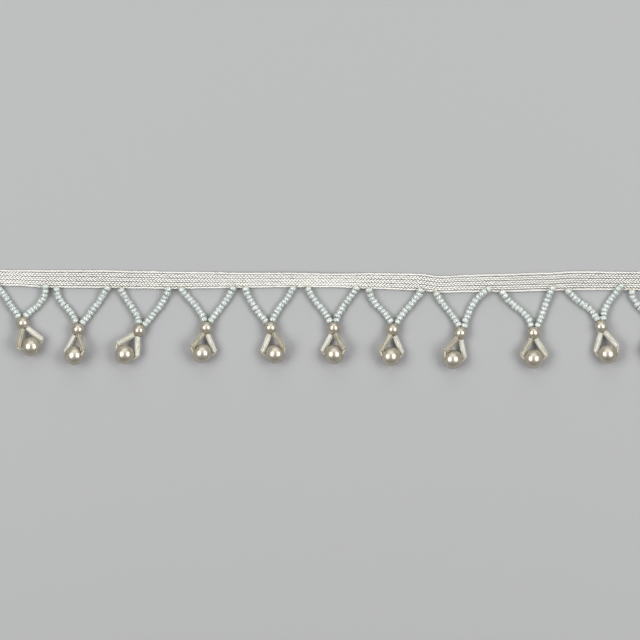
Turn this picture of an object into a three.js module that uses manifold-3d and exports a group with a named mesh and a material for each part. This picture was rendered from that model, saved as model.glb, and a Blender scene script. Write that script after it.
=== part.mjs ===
// Beaded fringe trim: a cut length of flat braid with strings of seed beads sewn along its lower edge.
// The strings lean together in pairs, a small pearl gathers each pair, and under it two bugle beads hold
// a large pearl between them. The trim lies face up on a surface.
// Millimetres, +Z up, +X along the braid, +Y from the pearls to the braid.

import * as THREE from "three";
import Module from "manifold-3d";

const wasm = await Module();
wasm.setup();

// Driving dimensions
const GAP = 0.3; // left between neighbouring pieces
const BRAID = { valley: 0.8, crest: 1.1, ribs: 8, stripRibs: 2, step: 5 }; // step is between sections
const RIB_SHOULDER = 0.3; // share of a rib's width that each of its two flanks takes
const CURL_FROM = 0.35; // share of the braid's width that stays flat under a curled upper edge
const SEED = { width: 1.9, pitch: 1.35 };
const SEED_PROFILE = [
  { along: 0, fullness: 0.6 },
  { along: 0.25, fullness: 1 },
  { along: 0.75, fullness: 1 },
];
const ROOT = { inset: 0.65, rise: 0.35, run: 0.2 }; // a string starts inside the braid's edge, a bit raised
const FOOT = { rise: 0.6, run: 0.3 }; // it leaves the surface again towards the small pearl's hole
const FOOT_SPREAD = 24; // degrees on each side between a pair of strings where they reach the small pearl
const SMALL_PEARL = { diameter: 4, flat: 0.9, segments: 10, rings: 6 }; // flat is the spot it rests on
const LARGE_PEARL = { diameter: 6, flat: 1.2, segments: 12, rings: 8 };
const BUGLE = { length: 6, width: 1.7, chamfer: 0.2, segments: 8 };
const BUGLE_CROSSING = 0.7; // below the small pearl's middle, where the lines of the two bugles cross

// Turns rows of numbers under named columns into objects.
function table(columns, rows) {
  return rows.map((row) => Object.fromEntries(columns.map((name, i) => [name, row[i]])));
}

// The braid as it lies: a place along it, its two edges there, and how far the upper edge curls up.
const BRAID_ROWS = table(
  ["x", "lower", "upper", "curl"],
  [
    [-104.5, 1, 6.1, 0],
    [-95, 0.8, 6.1, 0],
    [-85, 0.2, 6.1, 0],
    [-70, 0.1, 6.1, 0],
    [-55, -0.1, 5.8, 0],
    [-45, -0.2, 5.6, 0],
    [-35, 0, 5.5, 0.2],
    [-25, 0.2, 5.2, 0.9],
    [-10, 0.4, 5.2, 1.4],
    [5, 0.4, 4.9, 1.2],
    [15, -0.1, 5.1, 0.3],
    [30, -0.6, 5, 0],
    [38, -1.4, 4.2, 0.5],
    [46, -1.2, 4.6, 0],
    [55, -1.2, 4.9, 0],
    [70, -0.9, 5.3, 0],
    [80, -0.6, 5.8, 0],
    [95, -0.6, 5.6, 0],
    [117.5, -0.6, 5.7, 0],
  ],
);

// The pendants: where the small pearl lies, how far the feet of its strings are turned to the right about
// it, how far the large pearl has swung to the right, how far below the small one it lies and how far it is
// lifted off the surface, and how far each bugle is rolled up out of the flat about the pendant's line.
// Turns are in degrees.
const PENDANTS = table(
  ["x", "y", "feet", "swing", "drop", "lift", "leftRoll", "rightRoll"],
  [
    [-92.8, -10.6, -9, 19, 7.8, 0, 24, 0],
    [-75.6, -12.6, 10, -7.3, 8.2, 0.9, -40, 45],
    [-56.5, -12.9, 22, -30.7, 8.7, 0, 12, 0],
    [-35.5, -12.1, 9, -9.1, 8.1, 0, 30, -10],
    [-15.4, -12.1, -12, 9.8, 8.3, 0, -6, 36],
    [4.3, -12.2, -4, 0.4, 8.2, 0, -22, 36],
    [22.8, -12.6, 8, -4.8, 8.5, 0, 27, -20],
    [43.9, -13.7, 10, -16.3, 8.6, 0, 36, -22],
    [66.7, -13.7, 4, 0, 8.1, 0, 14, 0],
    [87.8, -11.7, -5, 13.3, 8.9, 0, -12, 8],
    [104.7, -12.2, 0, 2, 8.2, 0, 8, -8],
  ],
);

// The two strings of each pendant: where they are sewn in along the braid, and how far each one's upper and
// lower parts are pulled sideways, to the right, from a straight line.
const STRINGS = table(
  ["leftRoot", "leftHigh", "leftLow", "rightRoot", "rightHigh", "rightLow"],
  [
    [-101.2, 0, 0, -85.8, 3.7, 0.9],
    [-82.3, -2.5, 1.2, -66.1, 0.6, 0.4],
    [-62.3, -0.8, 1.8, -47, 1.4, 0.6],
    [-43.6, -0.1, 1.6, -26.9, 0.9, 0],
    [-23.4, -1.2, -0.7, -8, 0.6, -1],
    [-3.9, -1.4, 0.9, 11.7, 0.2, -1.6],
    [15.3, -2.4, 0.9, 31.9, 0.9, -1],
    [36.2, -1.1, 0.9, 53.2, -2.8, -1.9],
    [56.8, -1.8, 2.7, 73, -1, 0.7],
    [77.1, -0.8, 1.9, 94.4, -0.6, -2.3],
    [97.1, -2.2, 0.2, 113.8, 1.2, -0.4],
  ],
);

// Materials
const material = (color, roughness, metalness = 0) =>
  new THREE.MeshStandardMaterial({ color, roughness, metalness, flatShading: true });
const BRAID_YARN = material(0xece8de, 0.8);
const SEED_GLASS = material(0xdfebe4, 0.25);
const PEARL_COAT = material(0xd6cbb4, 0.3, 0.2);
const BUGLE_GLASS = material(0xe6decb, 0.35);

// A closed solid through rings of points that follow one outline, counterclockwise about the way they run.
function loft(rings, outline) {
  const size = outline.length;
  const last = (rings.length - 1) * size;
  const index = [];
  for (let start = 0; start < last; start += size) {
    for (let i = 0; i < size; i++) {
      const a = start + i;
      const b = start + ((i + 1) % size);
      index.push(a, b, a + size, b, b + size, a + size);
    }
  }
  for (const [a, b, c] of THREE.ShapeUtils.triangulateShape(outline, [])) {
    index.push(a, c, b, last + a, last + b, last + c);
  }
  const positions = rings.flat().flatMap((point) => point.toArray());
  return new THREE.BufferGeometry()
    .setAttribute("position", new THREE.Float32BufferAttribute(positions, 3))
    .setIndex(index);
}

// One solid of several that run into each other.
function join(geometries) {
  const solids = geometries.map(
    (geometry) =>
      new wasm.Manifold(
        new wasm.Mesh({
          numProp: 3,
          vertProperties: geometry.attributes.position.array,
          triVerts: new Uint32Array(geometry.index.array),
        }),
      ),
  );
  const joined = solids.reduce((whole, solid) => whole.add(solid)).getMesh();
  return new THREE.BufferGeometry()
    .setAttribute("position", new THREE.BufferAttribute(joined.vertProperties, 3))
    .setIndex(new THREE.BufferAttribute(joined.triVerts, 1));
}

// The braid's edges and curl at a place along it, eased from row to row.
function braidAt(x) {
  const after = Math.max(1, BRAID_ROWS.findIndex((row) => row.x >= x));
  const [from, to] = [BRAID_ROWS[after - 1], BRAID_ROWS[after]];
  const share = THREE.MathUtils.smoothstep(x, from.x, to.x);
  const blend = (column) => THREE.MathUtils.lerp(from[column], to[column], share);
  return { lower: blend("lower"), upper: blend("upper"), curl: blend("curl") };
}

// A section of ridges side by side, flat underneath: share of the width across, and height.
function ridgeOutline(ridges) {
  const bottom = [];
  const top = [];
  for (let ridge = 0; ridge <= ridges; ridge++) {
    bottom.push(new THREE.Vector2(ridge / ridges, 0));
    top.unshift(new THREE.Vector2(ridge / ridges, BRAID.valley));
    if (ridge < ridges) {
      top.unshift(new THREE.Vector2((ridge + RIB_SHOULDER) / ridges, BRAID.crest));
      top.unshift(new THREE.Vector2((ridge + 1 - RIB_SHOULDER) / ridges, BRAID.crest));
    }
  }
  return [...bottom, ...top];
}

// Some of the braid's ribs along its whole length, under so many ridges. Half a gap parts it from the rest.
function braidBand(firstRib, ribs, ridges) {
  const outline = ridgeOutline(ridges);
  const start = BRAID_ROWS[0].x;
  const length = BRAID_ROWS[BRAID_ROWS.length - 1].x - start;
  const steps = Math.round(length / BRAID.step);
  const rings = [];
  for (let step = 0; step <= steps; step++) {
    const x = start + (length * step) / steps;
    const { lower, upper, curl } = braidAt(x);
    const width = upper - lower;
    const near = lower + (width * firstRib) / BRAID.ribs + (firstRib > 0 ? GAP / 2 : 0);
    const lastRib = firstRib + ribs;
    const far = lower + (width * lastRib) / BRAID.ribs - (lastRib < BRAID.ribs ? GAP / 2 : 0);
    rings.push(
      outline.map((point) => {
        const y = THREE.MathUtils.lerp(near, far, point.x);
        const curled = Math.max(0, ((y - lower) / width - CURL_FROM) / (1 - CURL_FROM));
        return new THREE.Vector3(x, y, point.y + curl * curled ** 2);
      }),
    );
  }
  return loft(rings, outline);
}

// The line of a string: from its root over the braid's edge, level on the surface, then up to the pearl.
class StringLine extends THREE.Curve {
  constructor(rootX, highBow, lowBow, pendant, side) {
    super();
    const root = new THREE.Vector2(rootX, braidAt(rootX).lower + ROOT.inset);
    const turn = THREE.MathUtils.degToRad(pendant.feet + side * FOOT_SPREAD);
    const reach = SMALL_PEARL.diameter / 2 + GAP;
    const foot = new THREE.Vector2(
      pendant.x + reach * Math.sin(turn),
      pendant.y + reach * Math.cos(turn),
    );
    const across = new THREE.Vector2(root.y - foot.y, foot.x - root.x).normalize();
    const high = root.clone().lerp(foot, 1 / 3).addScaledVector(across, highBow);
    const low = root.clone().lerp(foot, 2 / 3).addScaledVector(across, lowBow);
    this.plan = new THREE.CubicBezierCurve(root, high, low, foot);
  }

  getPoint(share) {
    const { x, y } = this.plan.getPoint(share);
    const overEdge = ROOT.rise * (1 - THREE.MathUtils.smoothstep(share, 0, ROOT.run));
    const toPearl = FOOT.rise * THREE.MathUtils.smoothstep(share, 1 - FOOT.run, 1);
    return new THREE.Vector3(x, y, SEED.width / 2 + overEdge + toPearl);
  }
}

// A string of beads along a line: four flat sides that swell at each bead and draw in between beads.
function beadString(line) {
  const corners = [[-1, -1], [1, -1], [1, 1], [-1, 1]].map(([x, y]) => new THREE.Vector2(x, y));
  const up = new THREE.Vector3(0, 0, 1);
  const ring = (share, fullness) => {
    const middle = line.getPointAt(share);
    const tangent = line.getTangentAt(share);
    const sideways = up.clone().cross(tangent).normalize();
    const upright = tangent.clone().cross(sideways);
    const half = (fullness * SEED.width) / 2;
    return corners.map((corner) =>
      middle
        .clone()
        .addScaledVector(sideways, corner.x * half)
        .addScaledVector(upright, corner.y * half),
    );
  };
  const beads = Math.round(line.getLength() / SEED.pitch);
  const rings = [];
  for (let bead = 0; bead < beads; bead++) {
    for (const { along, fullness } of SEED_PROFILE) {
      rings.push(ring((bead + along) / beads, fullness));
    }
  }
  rings.push(ring(1, SEED_PROFILE[0].fullness));
  return loft(rings, corners);
}

// A pearl on its small flat spot, which is at height 0.
function pearlGeometry({ diameter, flat, segments, rings }) {
  const radius = diameter / 2;
  const lowest = -Math.acos(flat / diameter);
  const profile = [new THREE.Vector2(0, 0)];
  for (let ring = 0; ring < rings; ring++) {
    const angle = THREE.MathUtils.lerp(lowest, Math.PI / 2, ring / rings);
    const height = radius * (Math.sin(angle) - Math.sin(lowest));
    profile.push(new THREE.Vector2(radius * Math.cos(angle), height));
  }
  profile.push(new THREE.Vector2(0, radius - radius * Math.sin(lowest)));
  return new THREE.LatheGeometry(profile, segments).rotateX(Math.PI / 2);
}

// The height of a pearl's middle when it rests on its flat spot.
function restingHeight({ diameter, flat }) {
  return Math.sqrt(diameter ** 2 - flat ** 2) / 2;
}

// A bugle bead that starts at the origin and runs along +Y.
function bugleGeometry() {
  const { length, width, chamfer, segments } = BUGLE;
  const radius = width / 2;
  const profile = [
    new THREE.Vector2(0, 0),
    new THREE.Vector2(radius - chamfer, 0),
    new THREE.Vector2(radius, chamfer),
    new THREE.Vector2(radius, length - chamfer),
    new THREE.Vector2(radius - chamfer, length),
    new THREE.Vector2(0, length),
  ];
  return new THREE.LatheGeometry(profile, segments);
}

// Places a bugle beside the large pearl, side -1 for left and 1 for right. Its line leaves the pendant's
// line just below the small pearl's middle, at the angle that passes the large pearl with a gap.
function placeBugle(bugle, drop, lift, side, roll) {
  const knot = new THREE.Vector3(0, 0, restingHeight(SMALL_PEARL));
  const pearl = new THREE.Vector3(0, -drop, lift + restingHeight(LARGE_PEARL));
  const down = pearl.clone().sub(knot).normalize();
  const right = new THREE.Vector3(1, 0, 0);
  const upright = down.clone().cross(right);
  const crossing = knot.clone().addScaledVector(down, BUGLE_CROSSING);
  const clear = (LARGE_PEARL.diameter + BUGLE.width) / 2 + GAP;
  const spread = Math.asin(clear / pearl.distanceTo(crossing));
  const rolled = THREE.MathUtils.degToRad(roll);
  const direction = down
    .clone()
    .multiplyScalar(Math.cos(spread))
    .addScaledVector(right, side * Math.sin(spread) * Math.cos(rolled))
    .addScaledVector(upright, Math.sin(spread) * Math.sin(rolled));
  const start = SMALL_PEARL.diameter / 2 + GAP - BUGLE_CROSSING * Math.cos(spread);
  bugle.position.copy(crossing).addScaledVector(direction, start);
  bugle.quaternion.setFromUnitVectors(new THREE.Vector3(0, 1, 0), direction);
}

function named(name, geometry, look) {
  const mesh = new THREE.Mesh(geometry, look);
  mesh.name = name;
  return mesh;
}

// Small pearl, two bugles and large pearl, in a group that is placed at the small pearl and turned.
function makePendant({ x, y, swing, drop, lift, leftRoll, rightRoll }, number) {
  const pendant = new THREE.Group();
  const small = named(`small_pearl_${number}`, pearlGeometry(SMALL_PEARL), PEARL_COAT);
  const large = named(`large_pearl_${number}`, pearlGeometry(LARGE_PEARL), PEARL_COAT);
  large.position.set(0, -drop, lift);
  const left = named(`bugle_${number}_left`, bugleGeometry(), BUGLE_GLASS);
  const right = named(`bugle_${number}_right`, bugleGeometry(), BUGLE_GLASS);
  placeBugle(left, drop, lift, -1, leftRoll);
  placeBugle(right, drop, lift, 1, rightRoll);
  pendant.add(small, left, right, large);
  pendant.position.set(x, y, 0);
  pendant.rotation.z = THREE.MathUtils.degToRad(swing);
  return pendant;
}

// The braid's lowest ribs with all of the strings fused into them.
function makeFringe() {
  const strip = braidBand(0, BRAID.stripRibs, 1);
  const strings = PENDANTS.flatMap((pendant, i) => {
    const { leftRoot, leftHigh, leftLow, rightRoot, rightHigh, rightLow } = STRINGS[i];
    return [
      beadString(new StringLine(leftRoot, leftHigh, leftLow, pendant, -1)),
      beadString(new StringLine(rightRoot, rightHigh, rightLow, pendant, 1)),
    ];
  });
  return named("beaded_fringe", join([strip, ...strings]), SEED_GLASS);
}

// Assembly
const laid = new THREE.Group();
const headingRibs = BRAID.ribs - BRAID.stripRibs;
laid.add(named("heading_braid", braidBand(BRAID.stripRibs, headingRibs, headingRibs), BRAID_YARN));
laid.add(makeFringe());
PENDANTS.forEach((row, i) => laid.add(makePendant(row, String(i + 1).padStart(2, "0"))));

// The origin is under the middle of the whole trim, on the surface it lies on.
const trim = new THREE.Group();
trim.add(laid);
const box = new THREE.Box3().setFromObject(trim, true);
const middle = box.getCenter(new THREE.Vector3());
laid.position.set(-middle.x, -middle.y, -box.min.z);

export default trim;
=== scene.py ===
# The looks of a beaded fringe trim that lies face up on a surface: a flat braid of crossing yarns, strings of
# seed beads sewn along its lower edge, and a pendant of two pearls and two bugle beads under each pair of
# strings. Sizes are in millimetres, in the tables' own frame, until a mesh is made.
from collections import namedtuple
from math import asin, cos, pi, radians, sin

import bpy
import numpy as np
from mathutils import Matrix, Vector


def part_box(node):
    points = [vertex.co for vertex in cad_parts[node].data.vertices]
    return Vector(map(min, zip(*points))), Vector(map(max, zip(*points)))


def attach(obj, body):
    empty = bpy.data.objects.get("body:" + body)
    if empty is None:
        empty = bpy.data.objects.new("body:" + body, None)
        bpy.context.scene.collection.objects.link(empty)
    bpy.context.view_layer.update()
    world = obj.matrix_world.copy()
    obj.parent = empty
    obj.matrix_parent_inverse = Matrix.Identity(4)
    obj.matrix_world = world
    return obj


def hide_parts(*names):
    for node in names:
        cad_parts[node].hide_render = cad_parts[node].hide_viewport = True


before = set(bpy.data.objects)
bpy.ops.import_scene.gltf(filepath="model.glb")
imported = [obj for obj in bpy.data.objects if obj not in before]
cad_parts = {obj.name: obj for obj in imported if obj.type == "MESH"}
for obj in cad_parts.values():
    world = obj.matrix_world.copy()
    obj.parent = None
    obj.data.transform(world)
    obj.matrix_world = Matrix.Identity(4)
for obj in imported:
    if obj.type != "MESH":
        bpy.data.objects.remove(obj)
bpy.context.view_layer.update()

# Driving dimensions
MM = 0.001  # metres
TOUCH = 0.05  # left between pieces that touch
SIDES = {"left": -1, "right": 1}  # of a pendant
random = np.random.default_rng(7)

# The braid. A yarn rises by twice its lift from underneath to on top, and its filaments twist once in a turn.
RIBS = 8
YARN = {"wide": 0.5, "high": 0.4, "lift": 0.31, "pitch": 1.035, "turn": 4, "sides": 8, "steps": 6}
YARN_KEPT = {"wide": 0.55, "high": 0.8}  # shares of a yarn's width and height that are left where it dives
YARNS = 2 * RIBS + 1  # a flat braid of an odd number of yarns turns each one back at both edges
BRAID_TOP = YARN["high"] + 2 * YARN["lift"]
TURN_ROUNDING = 0.3  # stitches on each side of a yarn's turns at the edges
RIB_DRAWN = 0.65  # how much a rib is drawn together about its middle
RIB_PAIRED = 0.15  # how much nearer the two ribs of a pair lie than the pairs
CURL_FROM = 0.35  # share of the braid's width that stays flat under a curled upper edge

# Shade and light painted into a yarn's colour: how openly its side lies where the painted shade is darkest
# and the colour lightest, how many ribs in from an edge get painted light from beside and what share of it
# a flank gets, and how dark the shade painted into the grooves between the ribs is and how far it reaches
# into a rib.
OPEN = {"dark": -0.3, "light": 0.5}
EDGE_PAINTED_LIGHT = {"reach": 0.5, "flank": 0.4}
RIB_GROOVE_SHADE = {"between_pairs": 0.65, "in_pair": 0.4, "reach": 0.27}

# How unevenly a yarn lies: how far apart the changes are along the braid, and how large they are. The height
# is in millimetres, the place across in shares of the braid's width, and the others in shares of themselves.
UNEVEN_YARN = {"across": (3, 0.004), "height": (4, 0.012), "width": (5, 0.05), "tone": (6, 0.06)}

# The strings. A string rises at its root onto the braid's edge, and at its foot to the small pearl's hole,
# each over a share of its length. A bead's end is the ring where it meets the next bead.
SEED = {"diameter": 2.1, "hole": 0.8, "end": 1.2, "pitch": 1.35, "segments": 18, "profile": 16}
SEED_FULLNESS = 0.82  # the power that makes a bead's section fuller than an ellipse, which has 1
UNEVEN_SEED = {"length": 0.05, "place": 0.06, "tilt": (0.1, 0.1, 0.05), "size": 0.04}  # shares but for place
ROOT = {"rise": 0.85, "run": 0.3}
ROOT_HEIGHT = SEED["diameter"] / 2 + ROOT["rise"]  # where a string's line starts
FOOT = {"rise": 0.6, "run": 0.3}
FOOT_SPREAD = 24  # degrees on each side between a pair of strings where they reach the small pearl
LINE_STEPS = 120  # along a string

# The pendants
SMALL_PEARL = {"diameter": 4.0, "hole": 0.9, "segments": 40, "rings": 20}
LARGE_PEARL = {"diameter": 6.0, "hole": 1.0, "segments": 56, "rings": 28}
PEARL_LIP = 0.08  # how much a pearl's hole narrows at its mouth, and how deep
BUGLE = {"length": 6.0, "diameter": 1.7, "hole": 0.8, "chamfer": 0.04, "facets": 8, "segments": 64}
# A groove's dark share is shade painted into the bugle's colour there.
BUGLE_GROOVE = {"depth": 0.08, "width": 0.2, "dark": 0.35}  # shares of the radius and a facet, and its shade
BUGLE_CROSSING = 0.7  # below the small pearl's middle, where the lines of the two bugles cross
CUT_SLANT = 0.06  # how unevenly the bugles are cut off
SHARP = 40  # degrees between two faces of a bugle that meet in a sharp edge
GRAIN_RANGE = 9  # how far the patterns of two bugles may lie apart

# The thread
THREAD = {"diameter": 0.55, "stitch": 0.3, "turn": 1.5, "sides": 6, "steps": 4}
THREAD_EVERY = 10  # points of a string's line between the knots of its thread
THREAD_IN_PEARL = 0.7  # share of a pearl's radius
THREAD_IN_BUGLE = 1.0  # from a bugle's start
THREAD_PAST_BUGLE = 0.2  # from its end
EDGE_STITCH_BESIDE = {"left": -0.75, "right": 0.65}  # from a string's root

# The stage. The picture, in the tables' frame, and the sensor are in millimetres, the rest in metres.
PICTURE = {"x": 0.0, "y": -9.6875, "width": 200.0}
CAMERA = {"height": 2.0, "sensor": 36}
FLOOR = {"half": 4.0, "colour": (0.37, 0.372, 0.375, 1)}
SURROUNDING = 0.15  # strength of the even light from all around
SOFTBOX = {"distance": 0.8, "lean": 38}  # from the trim, and degrees from upright
SOFTBOX_X = SOFTBOX["distance"] * sin(radians(SOFTBOX["lean"]))
SOFTBOX_Z = SOFTBOX["distance"] * cos(radians(SOFTBOX["lean"]))


def table(columns, rows):
    """Rows under named columns, as dictionaries."""
    names = columns.split()
    return [dict(zip(names, row)) for row in rows]


# A softbox on each side of the camera and a wide fill beyond the braid: where they are, the lengths of their
# level and upright sides, and their power in watts.
LAMPS = table(
    "name x y z level upright power",
    [
        ["softbox_left", -SOFTBOX_X, 0.02, SOFTBOX_Z, 0.6, 0.4, 4.5],
        ["softbox_right", SOFTBOX_X, 0.02, SOFTBOX_Z, 0.6, 0.4, 4.5],
        ["fill", 0, 0.85, 0.65, 1.2, 1, 4.8],
    ],
)

# The braid as it lies: a place along it, its two edges there, and how far the upper edge curls up.
BRAID_ROWS = table(
    "x lower upper curl",
    [
        [-104.5, 1, 6.1, 0],
        [-95, 0.8, 6.1, 0],
        [-85, 0.2, 6.1, 0],
        [-70, 0.1, 6.1, 0],
        [-55, -0.1, 5.8, 0],
        [-45, -0.2, 5.6, 0],
        [-35, 0, 5.5, 0.2],
        [-25, 0.2, 5.2, 0.9],
        [-10, 0.4, 5.2, 1.4],
        [5, 0.4, 4.9, 1.2],
        [15, -0.1, 5.1, 0.3],
        [30, -0.6, 5, 0],
        [38, -1.4, 4.2, 0.5],
        [46, -1.2, 4.6, 0],
        [55, -1.2, 4.9, 0],
        [70, -0.9, 5.3, 0],
        [80, -0.6, 5.8, 0],
        [95, -0.6, 5.6, 0],
        [117.5, -0.6, 5.7, 0],
    ],
)

# The pendants: where the small pearl lies, how far the feet of its strings are turned to the right about it,
# how far the large pearl has swung to the right, how far below the small one it lies and how far it is lifted
# off the surface, how far each bugle is rolled up about the pendant's line, and how tan it is.
# A bugle's tan is painted shade: the darker look of its satin glass without the sheen, put into its colour.
PENDANTS = table(
    "x y feet swing drop lift left_roll right_roll left_tan right_tan",
    [
        [-92.8, -10.6, -9, 19, 7.8, 0, 24, 0, 0.9, 0.1],
        [-75.6, -12.6, 10, -7.3, 8.2, 0.9, -40, 45, 0, 1],
        [-56.5, -12.9, 22, -30.7, 8.7, 0, 12, 0, 0.2, 0],
        [-35.5, -12.1, 9, -9.1, 8.1, 0, 30, -10, 1, 0.2],
        [-15.4, -12.1, -12, 9.8, 8.3, 0, -6, 36, 0, 1],
        [4.3, -12.2, -4, 0.4, 8.2, 0, -22, 36, 0, 1],
        [22.8, -12.6, 8, -4.8, 8.5, 0, 27, -20, 0.9, 0.1],
        [43.9, -13.7, 10, -16.3, 8.6, 0, 36, -22, 1, 0],
        [66.7, -13.7, 4, 0, 8.1, 0, 14, 0, 0.9, 0.3],
        [87.8, -11.7, -5, 13.3, 8.9, 0, -12, 8, 0.1, 0.2],
        [104.7, -12.2, 0, 2, 8.2, 0, 8, -8, 0.8, 0.1],
    ],
)

# The two strings of each pendant: where they are sewn in along the braid, how far inside its lower edge, and
# how far each one's upper and lower parts are pulled sideways, to the right, from a straight line.
STRINGS = table(
    "left_root left_inset left_high left_low right_root right_inset right_high right_low",
    [
        [-101.2, 0.65, 0, 0, -85.8, 1.2, 3.7, 0.9],
        [-82.3, 0.25, -2.5, 1.2, -66.1, 0.75, 0.6, 0.4],
        [-62.3, 0.3, -0.8, 1.8, -47, 0.8, 1.4, 0.6],
        [-43.6, 0.6, -0.1, 1.6, -26.9, 0.65, 0.9, 0],
        [-23.4, 0.35, -1.2, -0.7, -8, 0.4, 0.6, -1],
        [-3.9, 0.25, -1.4, 0.9, 11.7, 0.7, 0.2, -1.6],
        [15.3, 0.25, -2.4, 0.9, 31.9, 0.75, 0.9, -1],
        [36.2, 0.45, -1.1, 0.9, 53.2, 1.4, -2.8, -1.9],
        [56.8, 0.8, -1.8, 2.7, 73, 1.6, -1, 0.7],
        [77.1, 0.45, -0.8, 1.9, 94.4, 2.1, -0.6, -2.3],
        [97.1, 0.25, -2.2, 0.2, 113.8, 0.65, 1.2, -0.4],
    ],
)

# Stitches of the thread, from the braid to a string's first bead and over the braid's lower edge beside it:
# how far each of their points is to the right of a place on the braid, up from it and above the surface.
ROOT_STITCH = table(
    "right up height",
    [
        [0.1, 0.4, 0.4],
        [0.05, 0.35, BRAID_TOP],
        [0, 0.1, (BRAID_TOP + ROOT_HEIGHT) / 2],
    ],
)
EDGE_STITCH = table(
    "right up height",
    [
        [0.3, 0.95, 0.5],
        [0.25, 0.85, BRAID_TOP],
        [-0.1, 0.5, BRAID_TOP + 0.05],
        [-0.15, 0.4, 0.5],
    ],
)

# The colours of the materials, from dark to light, and the value at which each is reached.
COLOURS = table(
    "name value red green blue",
    [
        # The yarn's two darker colours are painted shade, at its flanks, where it dives and in the grooves.
        ["yarn", 0.08, 0.03, 0.028, 0.026],
        ["yarn", 0.23, 0.25, 0.24, 0.22],
        ["yarn", 0.36, 0.9, 0.885, 0.835],
        ["seed", 0.2, 0.455, 0.51, 0.475],
        ["seed", 0.5, 0.515, 0.565, 0.53],
        ["seed", 0.75, 0.565, 0.605, 0.575],
        ["seed", 0.9, 0.595, 0.605, 0.58],
        ["pearl", 0.3, 0.52, 0.478, 0.385],
        ["pearl", 0.55, 0.58, 0.538, 0.445],
        ["pearl", 0.75, 0.632, 0.594, 0.506],
        # Ivory and tan are one satin glass painted in two lights: ivory with its sheen, and tan, darker, as
        # painted shade without it.
        ["ivory", 0.25, 0.36, 0.34, 0.275],
        ["ivory", 0.42, 0.6, 0.58, 0.5],
        ["ivory", 0.55, 0.76, 0.74, 0.65],
        ["tan", 0.25, 0.2, 0.18, 0.13],
        ["tan", 0.42, 0.33, 0.305, 0.23],
        ["tan", 0.58, 0.47, 0.435, 0.34],
        ["thread", 0.3, 0.52, 0.46, 0.34],
        ["thread", 0.7, 0.74, 0.67, 0.53],
    ],
)

# How light goes into the glass of the seed beads and bugles.
GLASS = {"subsurface_weight": 1, "subsurface_radius": (1, 1, 1), "subsurface_scale": 1.5 * MM}

# Where the tables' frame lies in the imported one, read at one small pearl.
MEASURED = 5
pearl_low, pearl_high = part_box(f"small_pearl_{MEASURED + 1:02d}")
pearl_middle = (pearl_low + pearl_high) / 2 / MM
SHIFT = np.array(
    [
        pearl_middle.x - PENDANTS[MEASURED]["x"],
        pearl_middle.y - PENDANTS[MEASURED]["y"],
        0,
    ]
)

# Shapes

# Points, faces and the values that each point carries for its material.
Part = namedtuple("Part", "points faces values")


def unit(vectors):
    """Vectors of length 1 that point the same way."""
    return vectors / np.linalg.norm(vectors, axis=-1, keepdims=True)


def smooth(share):
    """A share from 0 to 1, eased at both ends."""
    share = np.clip(share, 0, 1)
    return share * share * (3 - 2 * share)


def walked_along(path):
    """The length of a path up to each of its points."""
    return np.concatenate([[0], np.cumsum(np.linalg.norm(np.diff(path, axis=0), axis=1))])


def grid_faces(rows, columns, close_rows=False):
    """Quads of rows of points, each row a ring, counterclockwise seen against the way the rows run."""
    row, column = np.mgrid[0 : rows if close_rows else rows - 1, 0:columns]
    next_row = (row + 1) % rows
    next_column = (column + 1) % columns
    corners = [(row, column), (row, next_column), (next_row, next_column), (next_row, column)]
    return np.stack([(r * columns + c).ravel() for r, c in corners], axis=1).tolist()


def tube(path, half_wide, half_high, sides, sideways, turn):
    """A closed tube of elliptical section along a path, whose fibres go once around it in a turn's length."""
    tangent = unit(np.gradient(path, axis=0))
    upright = np.cross(tangent, sideways)
    angle = np.arange(sides) * 2 * pi / sides
    ring = np.cos(angle)[None, :, None] * (sideways * half_wide[:, None])[:, None, :]
    ring = ring + np.sin(angle)[None, :, None] * (upright * half_high[:, None])[:, None, :]
    points = (path[:, None, :] + ring).reshape(-1, 3)
    count = len(path)
    faces = grid_faces(count, sides)
    faces.append(list(range(sides))[::-1])
    faces.append(list(range((count - 1) * sides, count * sides)))
    walked = walked_along(path)
    twisted = angle[None, :] + 2 * pi * walked[:, None] / turn
    along = np.repeat(walked[:, None], sides, axis=1)
    fibre = np.stack([np.cos(twisted), np.sin(twisted), along], axis=2).reshape(-1, 3)
    return Part(points, faces, {"fibre": fibre})


def lathe(profile, segments):
    """A ring-shaped solid about the Z axis of a closed profile of (radius, height), counterclockwise."""
    angle = np.arange(segments) * 2 * pi / segments
    radius, height = profile[:, 0, None], profile[:, 1, None]
    rings = [radius * np.cos(angle), radius * np.sin(angle), height + 0 * angle]
    points = np.stack(rings, axis=2).reshape(-1, 3)
    return points, grid_faces(len(profile), segments, close_rows=True)


def stood_along(points, axis, middle):
    """Points about the Z axis, turned to an axis and moved to a middle."""
    axis = unit(np.asarray(axis, float))
    sideways = unit(np.cross([0, 0, 1], axis))
    upright = np.cross(axis, sideways)
    return np.asarray(middle) + points @ np.stack([sideways, upright, axis])


def rounded_path(knots, steps):
    """A smooth path through knots, with so many steps from knot to knot."""
    knots = np.asarray(knots, float)
    before = np.concatenate([knots[:1], knots[:-2]])[:, None]
    start = knots[:-1, None]
    end = knots[1:, None]
    after = np.concatenate([knots[2:], knots[-1:]])[:, None]
    t = (np.arange(steps) / steps)[None, :, None]
    slope = end - before
    bend = 2 * before - 5 * start + 4 * end - after
    twist = 3 * (start - end) + after - before
    curve = start + 0.5 * t * (slope + t * (bend + t * twist))
    return np.concatenate([curve.reshape(-1, 3), knots[-1:]])


def joined(parts):
    """One part of several."""
    faces = []
    count = 0
    for part in parts:
        faces.extend([[corner + count for corner in face] for face in part.faces])
        count += len(part.points)
    points = np.concatenate([part.points for part in parts])
    values = {name: np.concatenate([part.values[name] for part in parts]) for name in parts[0].values}
    return Part(points, faces, values)


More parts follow.
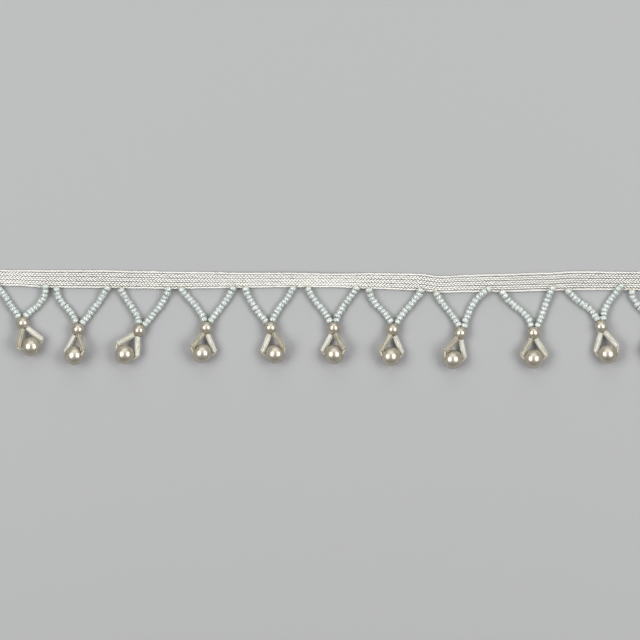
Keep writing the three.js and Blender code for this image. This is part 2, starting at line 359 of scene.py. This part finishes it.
def make_piece(name, part, material, stands_for=()):
    """A smooth piece of the trim that rides on its one body."""
    mesh = bpy.data.meshes.new(name)
    mesh.from_pydata((part.points + SHIFT) * MM, [], part.faces)
    mesh.polygons.foreach_set("use_smooth", np.ones(len(mesh.polygons), bool))
    for value_name, values in part.values.items():
        kind, key = ("FLOAT_VECTOR", "vector") if values.ndim == 2 else ("FLOAT", "value")
        attribute = mesh.attributes.new(value_name, kind, "POINT")
        attribute.data.foreach_set(key, values.astype(np.float32).ravel())
    mesh.materials.append(material)
    piece = bpy.data.objects.new(name, mesh)
    bpy.context.scene.collection.objects.link(piece)
    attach(piece, "root")
    if stands_for:
        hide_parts(*stands_for)
    return piece


# Materials


def new_material(name, **values):
    """A material whose shader has these constant values."""
    material = bpy.data.materials.new(name)
    material.use_nodes = True
    shader = material.node_tree.nodes["Principled BSDF"]
    for socket, value in values.items():
        shader.inputs[socket.replace("_", " ").title().replace("Ior", "IOR")].default_value = value
    return material, shader


def link(material, output, shader, socket):
    """Lets a node's output drive one of the shader's sockets."""
    material.node_tree.links.new(output, shader.inputs[socket])


def node(material, kind, inputs=None, **settings):
    """A node with its settings, and its inputs set to values or linked to other nodes' outputs."""
    made = material.node_tree.nodes.new(kind)
    for name, value in settings.items():
        setattr(made, name, value)
    for name, value in (inputs or {}).items():
        if isinstance(value, bpy.types.NodeSocket):
            material.node_tree.links.new(value, made.inputs[name])
        else:
            made.inputs[name].default_value = value
    return made


def point_value(material, name, output="Fac"):
    """What the points of a piece carry under a name."""
    return node(material, "ShaderNodeAttribute", attribute_name=name).outputs[output]


def place_on_piece(material):
    """Where a point of the surface is, in metres."""
    return node(material, "ShaderNodeTexCoord").outputs["Object"]


def worked_out(material, operation, *numbers):
    """A number worked out of others."""
    made = node(material, "ShaderNodeMath", dict(enumerate(numbers)), operation=operation)
    return made.outputs["Value"]


def noise(material, vector, scale, detail):
    """Cloudy values from 0 to 1."""
    made = node(material, "ShaderNodeTexNoise", {"Vector": vector, "Scale": scale, "Detail": detail})
    return made.outputs["Fac"]


def streaks(material, name, along, scale, detail):
    """Cloudy values drawn out along a piece, over the vector that its points carry under a name."""
    vector = point_value(material, name, "Vector")
    drawn_out = node(
        material, "ShaderNodeVectorMath", {0: vector, 1: (1, 1, along)}, operation="MULTIPLY"
    )
    return noise(material, drawn_out.outputs["Vector"], scale, detail)


def blended(material, name, value):
    """The colours of that name, blended by a value."""
    made = node(material, "ShaderNodeValToRGB", {"Fac": value})
    elements = made.color_ramp.elements
    rows = [row for row in COLOURS if row["name"] == name]
    while len(elements) < len(rows):
        elements.new(0.5)
    for element, row in zip(elements, rows):
        element.position = row["value"]
        element.color = (row["red"], row["green"], row["blue"], 1)
    return made.outputs["Color"]


def bump(material, shader, height, strength, depth):
    """Fine relief of a depth in millimetres."""
    values = {"Height": height, "Strength": strength, "Distance": depth * MM}
    link(material, node(material, "ShaderNodeBump", values).outputs["Normal"], shader, "Normal")


def yarn_material():
    """Ivory rayon yarn: soft sheen, fine filaments along it, and shade and light painted in from its points'
    tone.
    """
    material, shader = new_material("braid_yarn", roughness=0.55, sheen_weight=0.25, sheen_roughness=0.4)
    filaments = streaks(material, "fibre", along=0.25, scale=5, detail=2)
    # The points' tone brings painted shade and light into the colour.
    light = worked_out(material, "MULTIPLY", filaments, point_value(material, "tone"))
    link(material, blended(material, "yarn", light), shader, "Base Color")
    bump(material, shader, filaments, strength=0.6, depth=0.05)
    return material


def seed_material():
    """Pale mint glass with a pearly lustre, faintly clouded, a little greener or whiter from bead to bead."""
    material, shader = new_material(
        "seed_glass", roughness=0.2, coat_weight=1, coat_roughness=0.25, coat_ior=1.75, **GLASS
    )
    clouds = noise(material, place_on_piece(material), scale=900, detail=2)
    both = worked_out(material, "ADD", point_value(material, "tone"), clouds)
    mean = worked_out(material, "MULTIPLY", both, 0.5)
    link(material, blended(material, "seed", mean), shader, "Base Color")
    return material


def pearl_material():
    """Champagne pearl coating: satin gloss over a faintly clouded coat with a fine grain."""
    material, shader = new_material(
        "pearl_coat",
        metallic=0.8,
        roughness=0.36,
        specular_tint=(0.6, 0.55, 0.46, 1),
        coat_weight=0.5,
        coat_roughness=0.2,
    )
    place = place_on_piece(material)
    clouds = noise(material, place, scale=350, detail=3)
    link(material, blended(material, "pearl", clouds), shader, "Base Color")
    bump(material, shader, noise(material, place, scale=2500, detail=2), strength=0.12, depth=0.02)
    return material


def bugle_material():
    """Satin glass in two painted looks, ivory with its sheen and a darker tan without it, with fine lines
    along the bead and shade painted into the grooves.
    """
    material, shader = new_material(
        "bugle_glass", roughness=0.3, coat_weight=0.3, coat_roughness=0.15, **GLASS
    )
    lines = streaks(material, "grain", along=0.06, scale=6, detail=3)
    groove = point_value(material, "groove")
    # Shade painted into the grooves darkens the colour there.
    light = worked_out(material, "MULTIPLY_ADD", groove, -BUGLE_GROOVE["dark"], lines)
    ivory = blended(material, "ivory", light)
    tan = blended(material, "tan", light)
    # The tan share paints in the darker look of the glass without its sheen, bugle by bugle.
    shares = {"Factor": point_value(material, "tan"), "A": ivory, "B": tan}
    colour = node(material, "ShaderNodeMix", shares, data_type="RGBA")
    link(material, colour.outputs["Result"], shader, "Base Color")
    bump(material, shader, lines, strength=0.5, depth=0.05)
    return material


def thread_material():
    """Tan sewing thread of twisted plies."""
    material, shader = new_material("sewing_thread", roughness=0.6, sheen_weight=0.15)
    plies = streaks(material, "fibre", along=0.1, scale=3, detail=1)
    link(material, blended(material, "thread", plies), shader, "Base Color")
    bump(material, shader, plies, strength=0.6, depth=0.04)
    return material


# Braid

BRAID_X = np.array([row["x"] for row in BRAID_ROWS])
WIDEST = max(row["upper"] - row["lower"] for row in BRAID_ROWS)  # for the yarns' inset from the edges


def braid_value(column, x):
    """A column of the braid's table at places along it, eased from row to row."""
    values = np.array([row[column] for row in BRAID_ROWS])
    after = np.clip(np.searchsorted(BRAID_X, x), 1, len(BRAID_X) - 1)
    share = smooth((x - BRAID_X[after - 1]) / (BRAID_X[after] - BRAID_X[after - 1]))
    return values[after - 1] + (values[after] - values[after - 1]) * share


def on_braid(x, share, height):
    """Points at shares of the braid's width from its lower edge, that high above its back."""
    lower = braid_value("lower", x)
    upper = braid_value("upper", x)
    curled = np.clip((share - CURL_FROM) / (1 - CURL_FROM), 0, None)
    risen = height + braid_value("curl", x) * curled**2
    return np.stack([x, lower + (upper - lower) * share, risen], axis=-1)


def stitch_places():
    """Places along the braid, some to each stitch, counted in stitches and in millimetres."""
    stitches = (BRAID_X[-1] - BRAID_X[0]) / YARN["pitch"]
    stitch = np.linspace(0, stitches, int(stitches * YARN["steps"]) + 1)
    return stitch, BRAID_X[0] + stitch * YARN["pitch"]


def across_at(step):
    """Ribs from the lower edge, for a yarn that goes up, along the edge by half a stitch, down and along."""
    ends = [0, RIBS, RIBS + 0.5, 2 * RIBS + 0.5, YARNS]
    rounding = np.linspace(-TURN_ROUNDING, TURN_ROUNDING, 5)
    legs = [np.interp((step + shift) % YARNS, ends, [0, RIBS, RIBS, 0, 0]) for shift in rounding]
    return np.mean(legs, axis=0)


def over_and_under(step):
    """From 1 on top to -1 underneath, rib by rib, with the edges taken from underneath to the top."""
    ends = [-1, 0.5, RIBS - 0.5, RIBS + 1, 2 * RIBS, YARNS + 0.5]
    turns = [-0.5, 0.5, RIBS - 0.5, RIBS + 0.5, 2 * RIBS - 0.5, 2 * RIBS + 0.5]
    return np.sin(pi * np.interp(step % YARNS, ends, turns))


def paired_ribs(across):
    """Ribs from the lower edge, each one drawn together, and all but the two at the edges in pairs."""
    drawn = RIB_DRAWN * np.sin(2 * pi * across) / (2 * pi)
    return across + drawn - RIB_PAIRED * np.sin(pi * across) / pi


def painted_yarn_shading(across, level):
    """Painted shade and light for a yarn's colour, point by point: dark at its flanks, where it dives and in
    the ribs' grooves.
    """
    facing = np.sin(np.arange(YARN["sides"]) * 2 * pi / YARN["sides"])
    openness = np.outer(level, facing)
    lit = smooth((openness - OPEN["dark"]) / (OPEN["light"] - OPEN["dark"]))
    # Painted light on the ribs at the edges, as if lit from beside.
    edge = 1 - smooth(np.minimum(across, RIBS - across) / EDGE_PAINTED_LIGHT["reach"])
    lit_beside = np.outer(edge, EDGE_PAINTED_LIGHT["flank"] + (1 - EDGE_PAINTED_LIGHT["flank"]) * facing**2)
    # Painted shade in the grooves between the ribs.
    groove = np.round(across)
    depth = np.where(groove % 2 == 1, RIB_GROOVE_SHADE["between_pairs"], RIB_GROOVE_SHADE["in_pair"])
    shade = depth * (1 - smooth(np.abs(across - groove) / RIB_GROOVE_SHADE["reach"]))
    return np.maximum(lit, lit_beside) * (1 - shade)[:, None]


def wander(x, kind):
    """Smooth uneven values of a yarn at places along the braid."""
    spacing, amount = UNEVEN_YARN[kind]
    knots = np.arange(x[0], x[-1] + spacing, spacing)
    return np.interp(x, knots, random.normal(0, amount, len(knots)))


def yarn_part(number, stitch, x):
    """One yarn of the braid, from edge to edge and back, over and under the others."""
    step = stitch + number
    across = across_at(step)
    level = over_and_under(step)
    inset = YARN["wide"] / 2 / WIDEST
    share = inset + (1 - 2 * inset) * paired_ribs(across) / RIBS + wander(x, "across")
    height = YARN["lift"] * (level + 1) + YARN["high"] / 2 + wander(x, "height")
    fullness = YARN_KEPT["wide"] + (1 - YARN_KEPT["wide"]) * np.sqrt(np.abs(level))
    half_wide = YARN["wide"] / 2 * fullness * (1 + wander(x, "width"))
    half_high = YARN["high"] / 2 * (YARN_KEPT["high"] + (1 - YARN_KEPT["high"]) * np.abs(level))
    path = on_braid(x, share, np.maximum(height, half_high))
    sideways = unit(np.cross([0, 0, 1], unit(np.gradient(path, axis=0))))
    part = tube(path, half_wide, half_high, YARN["sides"], sideways, YARN["turn"])
    # The yarn's tone is its painted shade and light, times an uneven tone of its own.
    tone = painted_yarn_shading(across, level) * (1 + wander(x, "tone"))[:, None]
    part.values["tone"] = tone.ravel()
    return part


def make_braid():
    """The braid's yarns, in two pieces."""
    material = yarn_material()
    stitch, x = stitch_places()
    yarns = [yarn_part(number, stitch, x) for number in range(YARNS)]
    half = YARNS // 2 + 1
    make_piece("braid_yarns_a", joined(yarns[:half]), material, ["heading_braid"])
    make_piece("braid_yarns_b", joined(yarns[half:]), material)


# Strings of seed beads


def string_line(row, side, pendant):
    """A string's line: from its root over the braid's edge, along the surface, then up to the small pearl."""
    root_x, inset, high_bow, low_bow = [row[f"{side}_{name}"] for name in ("root", "inset", "high", "low")]
    root = np.array([root_x, braid_value("lower", root_x) + inset])
    turn = radians(pendant["feet"] + SIDES[side] * FOOT_SPREAD)
    reach = SMALL_PEARL["diameter"] / 2 + TOUCH
    foot = np.array([pendant["x"] + reach * sin(turn), pendant["y"] + reach * cos(turn)])
    across = unit(np.array([root[1] - foot[1], foot[0] - root[0]]))
    high = root + (foot - root) / 3 + across * high_bow
    low = root + (foot - root) * 2 / 3 + across * low_bow
    t = np.linspace(0, 1, LINE_STEPS + 1)[:, None]
    upper_part = (1 - t) ** 3 * root + 3 * t * (1 - t) ** 2 * high
    lower_part = 3 * t**2 * (1 - t) * low + t**3 * foot
    edge = inset / np.linalg.norm(foot - root)
    over_edge = ROOT["rise"] * (1 - smooth((t - edge) / ROOT["run"]))
    to_pearl = FOOT["rise"] * smooth((t - 1 + FOOT["run"]) / FOOT["run"])
    return np.hstack([upper_part + lower_part, SEED["diameter"] / 2 + over_edge + to_pearl])


def seed_profile():
    """The section of a seed bead of unit length: round outside, and narrow at its ends about the hole."""
    angle = np.arange(SEED["profile"]) * 2 * pi / SEED["profile"]
    inner, end, outer = SEED["hole"] / 2, SEED["end"] / 2, SEED["diameter"] / 2
    circle = np.stack([np.cos(angle), np.sin(angle)])
    outwards, along = np.sign(circle) * np.abs(circle) ** SEED_FULLNESS
    reach = np.where(outwards > 0, outer - end, end - inner)
    return np.stack([end + reach * outwards, along / 2], axis=1)


def seed_parts(line):
    """Seed beads side by side along a line, each a little turned and of its own size."""
    walked = walked_along(line)
    count = round(walked[-1] / SEED["pitch"])
    lengths = 1 + random.normal(0, UNEVEN_SEED["length"], count)
    at = np.concatenate([[0], np.cumsum(lengths)]) / lengths.sum() * walked[-1]
    ends = np.stack([np.interp(at, walked, values) for values in line.T], axis=1)
    points, faces = lathe(seed_profile(), SEED["segments"])
    parts = []
    for start, end, length in zip(ends[:-1], ends[1:], np.diff(at)):
        middle = (start + end) / 2 + random.normal(0, UNEVEN_SEED["place"], 3)
        axis = unit(end - start) + random.normal(0, 1, 3) * UNEVEN_SEED["tilt"]
        size = 1 + random.normal(0, UNEVEN_SEED["size"])
        middle[2] = max(middle[2], size * SEED["diameter"] / 2 + TOUCH)
        placed = stood_along(points * [size, size, length], axis, middle)
        tone = np.full(len(points), random.uniform(0, 1))
        parts.append(Part(placed, faces, {"tone": tone}))
    return parts


def make_strings():
    """The beads of all strings. Returns the lines of each pendant's strings by their sides."""
    parts = []
    lines = []
    for pendant, row in zip(PENDANTS, STRINGS):
        pair = {side: string_line(row, side, pendant) for side in SIDES}
        for line in pair.values():
            parts += seed_parts(line)
        lines.append(pair)
    make_piece("seed_beads", joined(parts), seed_material(), ["beaded_fringe"])
    return lines


# Pendants


def pearl_part(kind, axis, middle):
    """A drilled pearl."""
    radius, hole = kind["diameter"] / 2, kind["hole"] / 2
    steepest = pi / 2 - asin(hole / radius)
    angle = np.linspace(-steepest, steepest, kind["rings"])
    outside = np.stack([radius * np.cos(angle), radius * np.sin(angle)], axis=1)
    wall = hole - PEARL_LIP
    depth = outside[-1, 1] - PEARL_LIP
    inside = np.array([[wall, depth], [wall, 0], [wall, -depth]])
    points, faces = lathe(np.concatenate([outside, inside]), kind["segments"])
    return Part(stood_along(points, axis, middle), faces, {})


def bugle_part(start, direction, tan):
    """A glass tube with open ends, cut a little unevenly, with flat sides between fine grooves along it."""
    length, chamfer = BUGLE["length"], BUGLE["chamfer"]
    radius, hole = BUGLE["diameter"] / 2, BUGLE["hole"] / 2
    outside = [[radius - chamfer, 0], [radius, chamfer]]
    outside += [[radius, length - chamfer], [radius - chamfer, length]]
    inside = [[hole, length], [hole, 0]]
    points, faces = lathe(np.array(outside + inside), BUGLE["segments"])
    angle = np.arctan2(points[:, 1], points[:, 0])
    facet = 2 * pi / BUGLE["facets"]
    from_middle = (angle / facet + 0.5) % 1 - 0.5
    # The groove mask shapes the grooves and carries the shade painted into them.
    groove = smooth(1 - (0.5 - np.abs(from_middle)) / BUGLE_GROOVE["width"])
    groove[np.hypot(points[:, 0], points[:, 1]) < radius - 2 * chamfer] = 0
    points[:, :2] *= (1 / np.cos(from_middle * facet) - BUGLE_GROOVE["depth"] * groove)[:, None]
    slant = random.normal(0, CUT_SLANT, 2)
    points[:, 2] += np.sign(points[:, 2] - length / 2) * (points[:, :2] @ slant)
    grain = np.stack([np.cos(angle), np.sin(angle), points[:, 2]], axis=1) + random.uniform(0, GRAIN_RANGE)
    # The tan value is how much of the bugle's colour is painted shade, the look of its glass without the
    # sheen.
    values = {"grain": grain, "groove": groove, "tan": np.full(len(points), tan)}
    return Part(stood_along(points, direction, start), faces, values)


# The pearls' middles, the bugles' starts, directions and ends by their sides, and the ways of the holes.
Hang = namedtuple("Hang", "knot pearl starts directions ends hole_axis small_axis")


def hang(pendant):
    """Where a pendant's parts are. Each bugle starts at the small pearl and passes close by the large one."""
    turn = radians(pendant["swing"])
    turned = np.array([[cos(turn), sin(turn), 0], [-sin(turn), cos(turn), 0], [0, 0, 1]])
    place = np.array([pendant["x"], pendant["y"], 0])
    knot = np.array([0, 0, SMALL_PEARL["diameter"] / 2])
    pearl = np.array([0, -pendant["drop"], pendant["lift"] + LARGE_PEARL["diameter"] / 2])
    down = unit(pearl - knot)
    right = np.array([1.0, 0, 0])
    upright = np.cross(down, right)
    crossing = knot + down * BUGLE_CROSSING
    clear = (LARGE_PEARL["diameter"] + BUGLE["diameter"]) / 2 + TOUCH
    spread = asin(clear / np.linalg.norm(pearl - crossing))
    first = SMALL_PEARL["diameter"] / 2 + TOUCH - BUGLE_CROSSING * cos(spread)
    sideways = {}
    starts = {}
    directions = {}
    ends = {}
    for side, sign in SIDES.items():
        roll = radians(pendant[f"{side}_roll"])
        sideways[side] = sign * cos(roll) * right + sin(roll) * upright
        direction = down * cos(spread) + sideways[side] * sin(spread)
        start = crossing + direction * first
        starts[side] = place + start @ turned
        directions[side] = direction @ turned
        ends[side] = place + (start + direction * BUGLE["length"]) @ turned
    hole_axis = unit(sideways["right"] - sideways["left"]) @ turned
    lean = radians((pendant["feet"] - pendant["swing"]) / 2)
    small_axis = np.array([sin(lean), cos(lean), 0])
    middles = [place + middle @ turned for middle in (knot, pearl)]
    return Hang(*middles, starts, directions, ends, hole_axis, small_axis)


def make_pendants():
    """Pearls and bugles, one piece for each. Returns where they hang."""
    pearl_coat = pearl_material()
    bugle_glass = bugle_material()
    hangs = []
    for number, pendant in enumerate(PENDANTS, 1):
        place = hang(pendant)
        hangs.append(place)
        for size, kind, axis, middle in (
            ("small", SMALL_PEARL, place.small_axis, place.knot),
            ("large", LARGE_PEARL, place.hole_axis, place.pearl),
        ):
            node_name = f"{size}_pearl_{number:02d}"
            part = pearl_part(kind, axis, middle)
            make_piece(f"drilled_{node_name}", part, pearl_coat, [node_name])
        for side in SIDES:
            node_name = f"bugle_{number:02d}_{side}"
            part = bugle_part(place.starts[side], place.directions[side], pendant[f"{side}_tan"])
            bugle = make_piece(f"glass_{node_name}", part, bugle_glass, [node_name])
            bugle.data.set_sharp_from_angle(angle=radians(SHARP))
    return hangs


# Thread


def carried_sideways(tangents):
    """Sideways directions along a path that turn about it as little as they can."""
    askew = [0.3, 0.5, 0.8]  # no path starts this way
    side = np.cross(tangents[0], askew)
    found = []
    for tangent in tangents:
        side = unit(side - tangent * side.dot(tangent))
        found.append(side)
    return np.array(found)


def thread_part(knots, diameter):
    """A length of thread through knots."""
    path = rounded_path(knots, THREAD["steps"])
    half = np.full(len(path), diameter / 2)
    sideways = carried_sideways(unit(np.gradient(path, axis=0)))
    return tube(path, half, half, THREAD["sides"], sideways, THREAD["turn"])


def stitch_at(x, y, stitch):
    """The points of a stitch at a place on the braid."""
    return [np.array([x + row["right"], y + row["up"], row["height"]]) for row in stitch]


def half_thread(line, side, place):
    """Knots from a root down the string, through the small pearl and a bugle, into the large pearl."""
    small_hole = place.small_axis * SMALL_PEARL["diameter"] / 2 * THREAD_IN_PEARL
    large_hole = SIDES[side] * place.hole_axis * LARGE_PEARL["diameter"] / 2
    start, end, direction = place.starts[side], place.ends[side], place.directions[side]
    knots = stitch_at(line[0, 0], line[0, 1], ROOT_STITCH) + list(line[::THREAD_EVERY])
    knots += [place.knot + small_hole, place.knot - small_hole]
    knots += [start + direction * THREAD_IN_BUGLE, end, end + direction * THREAD_PAST_BUGLE]
    knots += [place.pearl + large_hole, place.pearl + large_hole * THREAD_IN_PEARL]
    return knots


def edge_stitch(line, side):
    """Knots of a small stitch over the braid's lower edge, beside a string's root."""
    x = line[0, 0] + EDGE_STITCH_BESIDE[side]
    return stitch_at(x, braid_value("lower", x), EDGE_STITCH)


def make_thread(lines, hangs):
    """One thread for each pendant, down one string and up the other, and a stitch beside each root."""
    parts = []
    for pair, place in zip(lines, hangs):
        down = half_thread(pair["left"], "left", place)
        up = half_thread(pair["right"], "right", place)[::-1]
        parts.append(thread_part(down + up, THREAD["diameter"]))
        for side, line in pair.items():
            parts.append(thread_part(edge_stitch(line, side), THREAD["stitch"]))
    make_piece("sewing_thread", joined(parts), thread_material())


# Stage


def make_floor():
    """A plain pale floor."""
    material, _ = new_material("floor", roughness=0.9, base_color=FLOOR["colour"])
    mesh = bpy.data.meshes.new("floor")
    half = FLOOR["half"]
    corners = [(-half, -half, 0), (half, -half, 0), (half, half, 0), (-half, half, 0)]
    mesh.from_pydata(corners, [], [(0, 1, 2, 3)])
    mesh.materials.append(material)
    floor = bpy.data.objects.new("floor", mesh)
    bpy.context.scene.collection.objects.link(floor)


def make_lights():
    """Lamps that face the middle of the trim, and an even dim light from all around."""
    for row in LAMPS:
        lamp = bpy.data.lights.new(row["name"], "AREA")
        lamp.shape = "RECTANGLE"
        lamp.size = row["level"]
        lamp.size_y = row["upright"]
        lamp.energy = row["power"]
        softbox = bpy.data.objects.new(row["name"], lamp)
        softbox.location = (row["x"], row["y"], row["z"])
        softbox.rotation_euler = (-softbox.location).to_track_quat("-Z", "Y").to_euler()
        softbox.visible_camera = False
        bpy.context.scene.collection.objects.link(softbox)
    world = bpy.data.worlds.new("surrounding")
    world.use_nodes = True
    background = world.node_tree.nodes["Background"]
    background.inputs["Color"].default_value = (1, 1, 1, 1)
    background.inputs["Strength"].default_value = SURROUNDING
    bpy.context.scene.world = world


def make_camera():
    """Straight above the trim, far off with a long lens, so that the picture's width shows."""
    data = bpy.data.cameras.new("camera")
    data.sensor_width = CAMERA["sensor"]
    data.lens = CAMERA["sensor"] * CAMERA["height"] / (PICTURE["width"] * MM)
    camera = bpy.data.objects.new("camera", data)
    x = (PICTURE["x"] + SHIFT[0]) * MM
    y = (PICTURE["y"] + SHIFT[1]) * MM
    camera.location = (x, y, CAMERA["height"])
    bpy.context.scene.collection.objects.link(camera)
    bpy.context.scene.camera = camera


make_camera()
make_lights()
make_floor()
make_braid()
string_lines = make_strings()
pendant_hangs = make_pendants()
make_thread(string_lines, pendant_hangs)
bpy.context.scene.view_settings.view_transform = "Standard"

bpy.context.view_layer.update()
